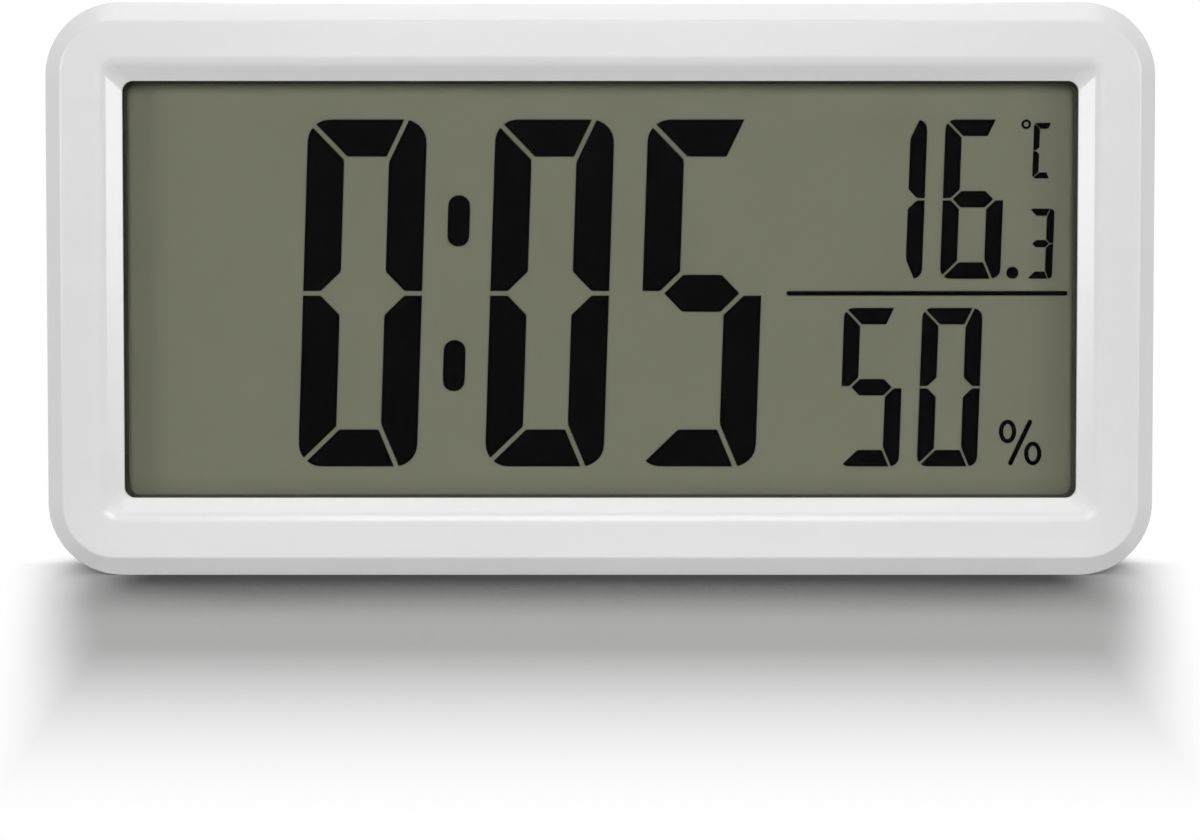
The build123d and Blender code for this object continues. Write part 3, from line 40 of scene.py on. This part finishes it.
# %% [markdown]
# ## Writing shader maths as plain sums
# A finish is a tree of shader nodes. Placing nodes one by one soon hides the idea behind them, so a small
# class wraps an output socket and lets Python's own operators add the Math nodes. A second class holds one
# material: it makes any other node from its type, its settings and its sockets, in that order, because some
# settings change which sockets a node has.

# %% A socket that can be reckoned with
class Signal:
    """One output socket of a tree. Sums on it add Math nodes."""

    def __init__(self, tree, socket):
        self.tree = tree
        self.socket = socket

    def __add__(self, other):
        return self.tree.math("ADD", self, other)

    __radd__ = __add__

    def __sub__(self, other):
        return self.tree.math("SUBTRACT", self, other)

    def __rsub__(self, other):
        return self.tree.math("SUBTRACT", other, self)

    def __mul__(self, other):
        return self.tree.math("MULTIPLY", self, other)

    __rmul__ = __mul__

    def __truediv__(self, other):
        return self.tree.math("DIVIDE", self, other)

    def __rtruediv__(self, other):
        return self.tree.math("DIVIDE", other, self)

    def __gt__(self, other):
        return self.tree.math("GREATER_THAN", self, other)

    def __lt__(self, other):
        return self.tree.math("LESS_THAN", self, other)

    def __abs__(self):
        return self.tree.math("ABSOLUTE", self)

    def at_least(self, other):
        return self.tree.math("MAXIMUM", self, other)

    def at_most(self, other):
        return self.tree.math("MINIMUM", self, other)


# %% A tree of nodes, and a material made of one
class Tree:
    """A shader tree that is cleared and then filled by node()."""

    def __init__(self, node_tree):
        self.nodes = node_tree.nodes
        self.links = node_tree.links
        self.nodes.clear()

    def node(self, kind, settings=None, sockets=None, out=0):
        """Adds one node: its type, then its settings, then the values or links of its sockets."""
        made = self.nodes.new("ShaderNode" + kind)
        for name, value in (settings or {}).items():
            setattr(made, name, value)
        for name, value in (sockets or {}).items():
            if isinstance(value, Signal):
                self.links.new(value.socket, made.inputs[name])
            else:
                made.inputs[name].default_value = value
        return Signal(self, made.outputs[out]) if made.outputs else made

    def math(self, operation, *terms):
        return self.node("Math", {"operation": operation}, dict(enumerate(terms)))

    def mix(self, share, first, second):
        """A colour between two colours."""
        settings = {"data_type": "RGBA"}
        return self.node("Mix", settings, {0: share, 6: first, 7: second}, out=2)

    def between(self, value, low, high):
        """0 below low, 1 above high, and smooth between them."""
        settings = {"interpolation_type": "SMOOTHSTEP"}
        return self.node("MapRange", settings, {"Value": value, "From Min": low, "From Max": high})

    def place(self, stretch=(1, 1, 1)):
        """The point on the object, in metres, stretched along its axes."""
        point = self.node("TexCoord", out="Object")
        return self.node("VectorMath", {"operation": "MULTIPLY"}, {0: point, 1: stretch})

    def axis(self, name):
        """One coordinate of the point on the object, in metres."""
        return self.node("SeparateXYZ", None, {0: self.node("TexCoord", out="Object")}, out=name)

    def noise(self, size, detail=2.0, stretch=(1, 1, 1)):
        """Cloudy noise between 0 and 1, with blotches about as large as size."""
        sockets = {"Vector": self.place(stretch), "Scale": 1 / size, "Detail": detail}
        return self.node("TexNoise", None, sockets)


class Finish(Tree):
    """A material. A plain one has a Principled shader, whose sockets are set by name."""

    def __init__(self, name):
        self.material = bpy.data.materials.new(name)
        self.material.use_nodes = True
        super().__init__(self.material.node_tree)

    def bump(self, height, depth, strength=1.0):
        return self.node("Bump", None, {"Height": height, "Distance": depth, "Strength": strength})

    def principled(self, **sockets):
        named = {name.replace("_", " "): value for name, value in sockets.items()}
        return self.node("BsdfPrincipled", None, named)

    def show(self, shader):
        self.node("OutputMaterial", None, {"Surface": shader})
        return self.material


def grey(level):
    return (level, level, level, 1)


def paint(material, *names):
    """Puts one material on every face of the named solids."""
    for name in names:
        slots = nodes[name].data.materials
        slots.clear()
        slots.append(material)
    print(material.name, "on", ", ".join(names))


# %% [markdown]
# ## White case plastic
# The front case, the rear cover, the battery door and the stand leg are moulded from the same white
# plastic. It could be a plain white shader, but a moulding always shows a little: faint flow streaks from
# the way the melt filled the mould, and a fine spark-eroded grain that breaks up the gloss. Both are noise
# here, the streaks stretched along the case and the grain a tenth of a millimetre across.

# %% White case plastic
def case_plastic():
    finish = Finish("white_case")
    streaks = finish.noise(6 * MM, detail=3, stretch=(0.25, 1, 1))
    clouds = finish.noise(25 * MM, detail=2)
    grain = finish.noise(0.12 * MM, detail=2)
    tone = 0.6 * streaks + 0.4 * clouds
    shader = finish.principled(
        Base_Color=finish.mix(tone, grey(0.80), grey(0.86)),
        Roughness=0.22 + 0.06 * clouds,
        Normal=finish.bump(grain, 0.01 * MM, strength=0.25),
    )
    return finish.show(shader)


paint(case_plastic(), "front_case", "rear_cover", "battery_door", "stand_leg")

# %% [markdown]
# ## The clear window
# The window is a thin clear sheet with a coat against glare, so the black figures behind it stay black.
# True refraction would bend light twice for no visible gain and would also stop the lamps at the sheet. A
# transparent shader with a little gloss on top lets the light straight through, and a Fresnel factor
# brings the gloss up only where the sheet is seen at a low angle. Light crosses every clear layer twice, on
# its way in and out, so the renderer is also allowed more transparent crossings than usual.

# %% The clear window
CLEAR_CROSSINGS = 32


def clear_window():
    finish = Finish("clear_window")
    smudges = finish.noise(9 * MM, detail=4)
    gloss = finish.node("BsdfGlossy", None, {"Roughness": 0.03 + 0.08 * smudges})
    clear = finish.node("BsdfTransparent", None, {"Color": (0.98, 0.985, 0.98, 1)})
    coat = finish.node("Fresnel", None, {"IOR": 1.1})
    return finish.show(finish.node("MixShader", None, {0: coat, 1: clear, 2: gloss}))


paint(clear_window(), "display_lens")
bpy.context.scene.cycles.transparent_max_bounces = CLEAR_CROSSINGS
print("clear layers may be crossed", CLEAR_CROSSINGS, "times")

# %% [markdown]
# ## The layers of the display
# A reflective liquid-crystal display is a sandwich: a polarising film, a sheet of glass, the segments, a
# second sheet of glass and a reflector. The film and the front glass only tint what lies behind them. The
# grey-green colour comes from the reflector, which is laminated to the second glass, so that glass carries
# the colour here and the segments lie right on it, with no shadow of their own.

# %% Film and front glass
def thin_clear(name, tint, haze, haze_colour):
    """A clear layer that passes most light and scatters a little of it."""
    finish = Finish(name)
    mottle = finish.noise(3 * MM, detail=3)
    clear = finish.node("BsdfTransparent", None, {"Color": tint})
    film = finish.principled(Base_Color=haze_colour, Roughness=0.4, Specular_IOR_Level=0.1)
    return finish.show(finish.node("MixShader", None, {0: haze * (0.7 + 0.6 * mottle), 1: clear, 2: film}))


paint(thin_clear("polariser_film", (0.95, 0.955, 0.94, 1), 0.0015, (0.1, 0.1, 0.09, 1)), "front_polariser")
paint(thin_clear("display_glass", (0.985, 0.99, 0.985, 1), 0.0015, (0.1, 0.11, 0.1, 1)), "lcd_front_glass")


# %% Backed glass, reflector, segments and seal
def olive_reflector(name):
    finish = Finish(name)
    sparkle = finish.noise(0.25 * MM, detail=3)
    clouds = finish.noise(30 * MM, detail=2)
    colour = finish.mix(0.5 * sparkle + 0.5 * clouds, (0.298, 0.286, 0.228, 1), (0.32, 0.306, 0.246, 1))
    shader = finish.principled(
        Base_Color=colour,
        Roughness=0.55 + 0.1 * sparkle,
        Specular_IOR_Level=0.1,
    )
    return finish.show(shader)


def segment_black():
    finish = Finish("segment_black")
    mottle = finish.noise(1.5 * MM, detail=2)
    colour = finish.mix(mottle, grey(0.0008), grey(0.0022))
    return finish.show(finish.principled(Base_Color=colour, Roughness=0.7, Specular_IOR_Level=0.0))


def edge_seal():
    finish = Finish("edge_seal")
    beads = finish.noise(0.4 * MM, detail=2)
    colour = finish.mix(beads, grey(0.035), grey(0.06))
    return finish.show(finish.principled(Base_Color=colour, Roughness=0.6 + 0.2 * beads))


paint(olive_reflector("backed_glass"), "lcd_rear_glass")
paint(olive_reflector("olive_reflector"), "rear_reflector")
paint(segment_black(), "lcd_segments")
paint(edge_seal(), "lcd_seal")

# %% [markdown]
# ## Foam, carrier and strip connector
# Behind the lip of the frame a thin dark foam gasket keeps dust off the display. It is open-celled, and the
# shade in its small round pits is painted into its colour as darker spots, besides a bump. The grey carrier
# is a plain moulding. The strip connector is silicone rubber with thin carbon layers all along it, one
# beside the other, which a sharp wave along X gives.

# %% Foam, carrier and strip connector
def black_foam():
    finish = Finish("black_foam")
    pits = finish.node("TexVoronoi", None, {"Vector": finish.place(), "Scale": 1 / (0.3 * MM)})
    shader = finish.principled(
        # Painted shade: each pit is darker in colour towards its middle.
        Base_Color=finish.mix(pits, (0.06, 0.06, 0.046, 1), (0.11, 0.11, 0.085, 1)),
        Roughness=0.95,
        Specular_IOR_Level=0.1,
        Normal=finish.bump(pits, 0.05 * MM),
    )
    return finish.show(shader)


def grey_carrier():
    finish = Finish("grey_carrier")
    flow = finish.noise(12 * MM, detail=3)
    grain = finish.noise(0.2 * MM)
    shader = finish.principled(
        Base_Color=finish.mix(flow, grey(0.42), grey(0.48)),
        Roughness=0.45 + 0.15 * flow,
        Normal=finish.bump(grain, 0.01 * MM, strength=0.3),
    )
    return finish.show(shader)


LAYER_PITCH = 0.5 * MM
CARBON_SHARE = 0.5


def strip_rubber():
    finish = Finish("strip_rubber")
    layer = finish.axis("X") / LAYER_PITCH
    carbon = finish.math("FRACT", layer) < CARBON_SHARE
    mottle = finish.noise(2 * MM)
    pink = finish.mix(mottle, (0.42, 0.14, 0.13, 1), (0.52, 0.2, 0.18, 1))
    colour = finish.mix(carbon, pink, grey(0.03))
    return finish.show(finish.principled(Base_Color=colour, Roughness=0.6 + 0.2 * mottle))


paint(black_foam(), "display_gasket")
paint(grey_carrier(), "lcd_carrier")
paint(strip_rubber(), "zebra_strip")

# %% [markdown]
# ## The circuit board and what sits on it
# Solder mask is a glossy green lacquer. Where copper runs beneath it the green is lighter and stands a
# little higher, which a Voronoi pattern measured along the axes imitates well: its borders turn in right
# angles like tracks. The chips are ceramic blocks with tinned ends, and the ends are found from the height
# of a point.

# %% Circuit board
TRACK_PITCH = 4 * MM
TRACK_EDGE = (0.18, 0.10)


def board_green():
    finish = Finish("board_green")
    sockets = {"Vector": finish.place(), "Scale": 1 / TRACK_PITCH}
    second = finish.node("TexVoronoi", {"distance": "MANHATTAN", "feature": "F2"}, sockets)
    first = finish.node("TexVoronoi", {"distance": "MANHATTAN", "feature": "F1"}, sockets)
    track = finish.between(second - first, *TRACK_EDGE)
    weave = finish.noise(0.5 * MM)
    shader = finish.principled(
        Base_Color=finish.mix(track, (0.008, 0.075, 0.025, 1), (0.02, 0.16, 0.06, 1)),
        Roughness=0.22 + 0.12 * weave,
        Normal=finish.bump(track + 0.2 * weave, 0.03 * MM),
    )
    return finish.show(shader)


CHIP_BODY_HALF = 0.62 * MM


def chip_ceramic():
    finish = Finish("chip_ceramic")
    low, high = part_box("smd_components")
    off_middle = abs(finish.axis("Z") - (low.z + high.z) / 2)
    tinned = off_middle > CHIP_BODY_HALF
    mottle = finish.noise(0.3 * MM)
    clay = finish.mix(mottle, (0.2, 0.12, 0.055, 1), (0.28, 0.18, 0.09, 1))
    shader = finish.principled(
        Base_Color=finish.mix(tinned, clay, grey(0.62)),
        Metallic=tinned,
        Roughness=0.35 + 0.2 * mottle,
    )
    return finish.show(shader)


def black_epoxy():
    finish = Finish("black_epoxy")
    ripples = finish.noise(2.5 * MM, detail=2)
    shader = finish.principled(
        Base_Color=finish.mix(ripples, grey(0.006), grey(0.016)),
        Roughness=0.15 + 0.2 * ripples,
        Normal=finish.bump(ripples, 0.1 * MM, strength=0.4),
    )
    return finish.show(shader)


def sensor_cage():
    finish = Finish("sensor_cage")
    flow = finish.noise(2 * MM, detail=3)
    colour = finish.mix(flow, (0.7, 0.71, 0.68, 1), (0.78, 0.79, 0.76, 1))
    return finish.show(finish.principled(Base_Color=colour, Roughness=0.4 + 0.2 * flow))


def switch_black():
    finish = Finish("switch_black")
    flow = finish.noise(1.5 * MM, detail=3)
    colour = finish.mix(flow, grey(0.012), grey(0.028))
    return finish.show(finish.principled(Base_Color=colour, Roughness=0.4 + 0.2 * flow))


keys = ("set", "up", "down", "unit")
paint(board_green(), "main_board")
paint(chip_ceramic(), "smd_components")
paint(black_epoxy(), "controller_blob", "thermistor")
paint(sensor_cage(), "humidity_sensor")
paint(switch_black(), "tact_switches", *[key + "_plunger" for key in keys])

# %% [markdown]
# ## Bare metal
# Springs and contacts are nickel-plated steel, the screws are zinc-plated and the crystal sits in a tinned
# can. They differ in tint and in how the surface was worked, so one function takes a tint, a roughness and
# the direction in which the fine lines run.

# %% Bare metal
def bare_metal(name, dark, light, rough, lines):
    finish = Finish(name)
    scratches = finish.noise(0.15 * MM, detail=3, stretch=lines)
    stains = finish.noise(3 * MM, detail=2)
    shader = finish.principled(
        Base_Color=finish.mix(stains, dark, light),
        Metallic=1.0,
        Roughness=rough + 0.18 * scratches,
        Normal=finish.bump(scratches, 0.01 * MM, strength=0.4),
    )
    return finish.show(shader)


nickel = bare_metal("nickel_steel", (0.56, 0.54, 0.5, 1), (0.68, 0.66, 0.62, 1), 0.2, (1, 1, 0.1))
zinc = bare_metal("screw_steel", (0.42, 0.43, 0.45, 1), (0.55, 0.56, 0.57, 1), 0.28, (1, 1, 1))
tin = bare_metal("tinned_can", (0.6, 0.6, 0.58, 1), (0.7, 0.7, 0.68, 1), 0.25, (1, 1, 0.15))
springs = ("spring_upper", "spring_lower")
paint(nickel, *springs, "positive_contact", "negative_contact", "bridge_contact")
paint(zinc, "rear_cover_screws", "carrier_screws", "pcb_screws")
paint(tin, "quartz_crystal")

# %% [markdown]
# ## Cells and wires
# Each cell is a steel can in a printed sleeve. The sleeve stops short of both ends, so the flat end faces
# are bare metal, which shows in the normal: it points along X there. The warm band lies at the end with the
# nub, and the two cells face opposite ways.

# %% Cells
BAND_EDGE = (0.300, 0.304)
LINE_MIDDLE = 0.315
LINE_HALF = 0.006
END_FACING = 0.6


def cell_sleeve(name, node, nub_at_right):
    finish = Finish(name)
    low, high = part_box(node)
    length = high.x - low.x
    from_nub = (high.x - finish.axis("X")) if nub_at_right else (finish.axis("X") - low.x)
    share = from_nub / length
    facing = finish.node("SeparateXYZ", None, {0: finish.node("TexCoord", out="Normal")}, out="X")
    bare = abs(facing) > END_FACING
    scuffs = finish.noise(1.2 * MM, detail=3, stretch=(0.2, 1, 1))
    band = finish.between(share, *BAND_EDGE)
    line = abs(share - LINE_MIDDLE) < LINE_HALF
    body = finish.mix(scuffs, (0.018, 0.02, 0.024, 1), (0.035, 0.038, 0.045, 1))
    warm = finish.mix(scuffs, (0.42, 0.17, 0.06, 1), (0.52, 0.22, 0.08, 1))
    sleeve = finish.mix(line, finish.mix(band, warm, body), grey(0.6))
    shader = finish.principled(
        Base_Color=finish.mix(bare, sleeve, grey(0.6)),
        Metallic=(bare + 0.5 * (1 - band)).at_most(1),
        Roughness=0.22 + 0.2 * scuffs,
    )
    return finish.show(shader)


paint(cell_sleeve("cell_sleeve_upper", "battery_upper", True), "battery_upper")
paint(cell_sleeve("cell_sleeve_lower", "battery_lower", False), "battery_lower")


# %% Wires
def wire_sleeve(name, dark, light):
    finish = Finish(name)
    wear = finish.noise(0.8 * MM, detail=3)
    shader = finish.principled(Base_Color=finish.mix(wear, dark, light), Roughness=0.3 + 0.2 * wear)
    return finish.show(shader)


paint(wire_sleeve("red_wire", (0.3, 0.012, 0.01, 1), (0.4, 0.02, 0.015, 1)), "positive_wire")
paint(wire_sleeve("black_wire", grey(0.01), grey(0.022)), "negative_wire")

# %% [markdown]
# ## Buttons
# The caps are light grey so that they can be told from the cover, and each has its sign sunk into the top.
# On the real caps the sunk sign is filled with darker paint. The paint is found by depth: a point belongs
# to it if it lies near the middle of its cap and below the top of the cap.

# %% Buttons
SIGN_REACH = 1.6 * MM
SIGN_DEPTH = 0.12 * MM


def button_grey(name, node):
    finish = Finish(name)
    low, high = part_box(node)
    beside = abs(finish.axis("X") - (low.x + high.x) / 2) < SIGN_REACH
    above = abs(finish.axis("Z") - (low.z + high.z) / 2) < SIGN_REACH
    sunk = finish.axis("Y") < high.y - SIGN_DEPTH
    sign = beside * above * sunk
    flow = finish.noise(4 * MM, detail=3)
    grain = finish.noise(0.12 * MM)
    shader = finish.principled(
        Base_Color=finish.mix(sign, finish.mix(flow, grey(0.56), grey(0.62)), grey(0.12)),
        Roughness=0.36 + 0.12 * flow,
        Normal=finish.bump(grain, 0.01 * MM, strength=0.25),
    )
    return finish.show(shader)


for key in keys:
    paint(button_grey("button_grey_" + key, key + "_button"), key + "_button")

# %% [markdown]
# ## Floor and surroundings
# The clock stands on a pale floor that runs into white with no horizon. Near the clock the floor is an
# ordinary matt surface, because it has to carry the shadow. Right at the foot a painted contact shade
# darkens its colour where the case hides the open sky, which grounds the clock. The camera and
# reflections see this shade; other rays do not. Further out the floor turns into plain white for the
# camera and for reflections, but gives no light of its own to the clock. The fade into white narrows ahead
# of the clock, so it paints white over the sides and the far end of the cast shadow: the shadow's outline
# there is painted, not cast. For all other rays the near floor is a little paler than the camera sees it
# and the far floor is even darker, so that it bounces little light back. The world is white to the camera
# in the same way.

# %% Floor
def seen_ray(tree):
    """1 for a ray from the camera or one that shows a reflection or something behind glass."""
    path = ("Is Camera Ray", "Is Glossy Ray", "Is Transmission Ray")
    camera, glossy, through = (tree.node("LightPath", out=name) for name in path)
    return camera.at_least(glossy).at_least(through)


FADE_AHEAD = (50 * MM, 120 * MM)
FADE_BESIDE = (78 * MM, 92 * MM)
FADE_TAPER = 0.33
BEHIND_SHARE = 2.2
FLOOR_SIZE = 8
CONTACT_REACH = 40 * MM
CONTACT_SKY = (1.0, 0.5)
CONTACT_HALF_WIDTH = (66 * MM, 80 * MM)


def floor_finish():
    finish = Finish("pale_floor")
    seen = seen_ray(finish)
    ahead = (-1 * finish.axis("Y")).at_least(BEHIND_SHARE * finish.axis("Y"))
    side = abs(finish.axis("X"))
    # The fade into white narrows ahead of the clock and paints white over the sides and far end of the cast
    # shadow.
    beside = side + FADE_TAPER * ahead
    far = finish.between(ahead, *FADE_AHEAD).at_least(finish.between(beside, *FADE_BESIDE))
    fleck = finish.noise(1.5 * MM, detail=2)
    paper = finish.mix(fleck, grey(0.71), grey(0.73))
    bounce = finish.mix(far, grey(0.85), grey(0.3))
    pale = finish.mix(seen, bounce, paper)
    open_sky = finish.node("AmbientOcclusion", {"samples": 16}, {"Distance": CONTACT_REACH}, out="AO")
    under = 1 - finish.between(side, *CONTACT_HALF_WIDTH)
    # Painted contact shade: the floor colour turns darker where the case hides the sky, for seen rays only.
    painted_contact_shade = finish.between(open_sky, *CONTACT_SKY) * under * seen
    matt = finish.node("BsdfDiffuse", None, {"Color": finish.mix(painted_contact_shade, pale, grey(0.1))})
    white = finish.node("Emission", None, {"Color": grey(1.0), "Strength": 1.0})
    return finish.show(finish.node("MixShader", None, {0: far * seen, 1: matt, 2: white}))


bpy.ops.mesh.primitive_plane_add(size=FLOOR_SIZE)
floor = bpy.context.object
floor.name = "floor"
floor.data.materials.append(floor_finish())
print("floor of", FLOOR_SIZE, "m, shadow kept to", FADE_AHEAD[1] / MM, "mm in front")


# %% World
def light_world(ambient):
    world = bpy.data.worlds.new("studio")
    world.use_nodes = True
    bpy.context.scene.world = world
    tree = Tree(world.node_tree)
    dim = tree.node("Background", None, {"Color": grey(1.0), "Strength": ambient})
    white = tree.node("Background", None, {"Color": grey(1.0), "Strength": 1.0})
    both = tree.node("MixShader", None, {0: seen_ray(tree), 1: dim, 2: white})
    tree.node("OutputWorld", None, {"Surface": both})
    print("world strength", ambient)


AMBIENT = 0.03
light_world(AMBIENT)

# %% [markdown]
# ## Studio lamps
# A lamp above and behind the clock throws the shadow forward, as in a product shot, and lights the back. A
# soft box above the camera lights the face and the display. Two upright strips at the sides are mirrored in
# the inner bevels left and right of the display. Two flat strips overhead are mirrored as well: the front
# one in the lower inner bevel, the rear one in the upper outer bevel. Each lamp is given by the direction
# it comes from, the angles it spans and how bright its surface is.

# %% Soft boxes
LAMP_DISTANCE = 0.9


def soft_box(name, azimuth, elevation, wide, high, radiance):
    """A rectangular lamp facing the clock. Azimuth 0 is the front, 90 the right; angles are in degrees."""
    a = math.radians(azimuth)
    e = math.radians(elevation)
    away = Vector((math.sin(a) * math.cos(e), -math.cos(a) * math.cos(e), math.sin(e)))
    lamp = bpy.data.lights.new(name, "AREA")
    lamp.shape = "RECTANGLE"
    lamp.size = 2 * LAMP_DISTANCE * math.tan(math.radians(wide) / 2)
    lamp.size_y = 2 * LAMP_DISTANCE * math.tan(math.radians(high) / 2)
    lamp.energy = radiance * math.pi * lamp.size * lamp.size_y
    box = bpy.data.objects.new(name, lamp)
    box.location = middle + away * LAMP_DISTANCE
    box.rotation_euler = away.to_track_quat("Z", "Y").to_euler()
    bpy.context.scene.collection.objects.link(box)
    print(name, "lamp of", round(lamp.energy, 2), "W")


soft_box("back_lamp", 180, 52, 30, 24, 8.5)
soft_box("front_lamp", 0, 24, 34, 26, 4.8)
soft_box("left_strip", -60, 4, 14, 30, 8.9)
soft_box("right_strip", 60, 4, 14, 30, 8.9)
soft_box("front_top_strip", 0, 71, 60, 8, 3.1)
soft_box("rear_top_strip", 180, 77, 60, 8, 2.0)

# %% [markdown]
# ## Camera
# The clock is seen square on and from a little above, from close by: a lens of 50 mm on a 36 mm frame at a
# quarter of a metre. The picture has room below for the shadow, so the lens is shifted instead of tilted,
# which keeps the sides of the case parallel.

# %% Camera
IMAGE_WIDTH = 1200
IMAGE_HEIGHT = 840
CLOCK_MIDDLE_PX = (600.3, 290.3)
CAMERA_DISTANCE = 0.2447
CAMERA_ELEVATION = math.radians(1.3)
FOCAL_LENGTH = 50
SENSOR_WIDTH = 36
NEAREST_SEEN = 0.01

lens = bpy.data.cameras.new("camera")
lens.lens = FOCAL_LENGTH
lens.sensor_width = SENSOR_WIDTH
lens.clip_start = NEAREST_SEEN
lens.shift_x = -(CLOCK_MIDDLE_PX[0] - IMAGE_WIDTH / 2) / IMAGE_WIDTH
lens.shift_y = (CLOCK_MIDDLE_PX[1] - IMAGE_HEIGHT / 2) / IMAGE_WIDTH
camera = bpy.data.objects.new("camera", lens)
back = Vector((0, -math.cos(CAMERA_ELEVATION), math.sin(CAMERA_ELEVATION)))
camera.location = middle + back * CAMERA_DISTANCE
camera.rotation_euler = back.to_track_quat("Z", "Y").to_euler()
bpy.context.scene.collection.objects.link(camera)
bpy.context.scene.camera = camera
bpy.context.scene.view_settings.view_transform = "Standard"
print("camera at", tuple(round(v, 4) for v in camera.location))
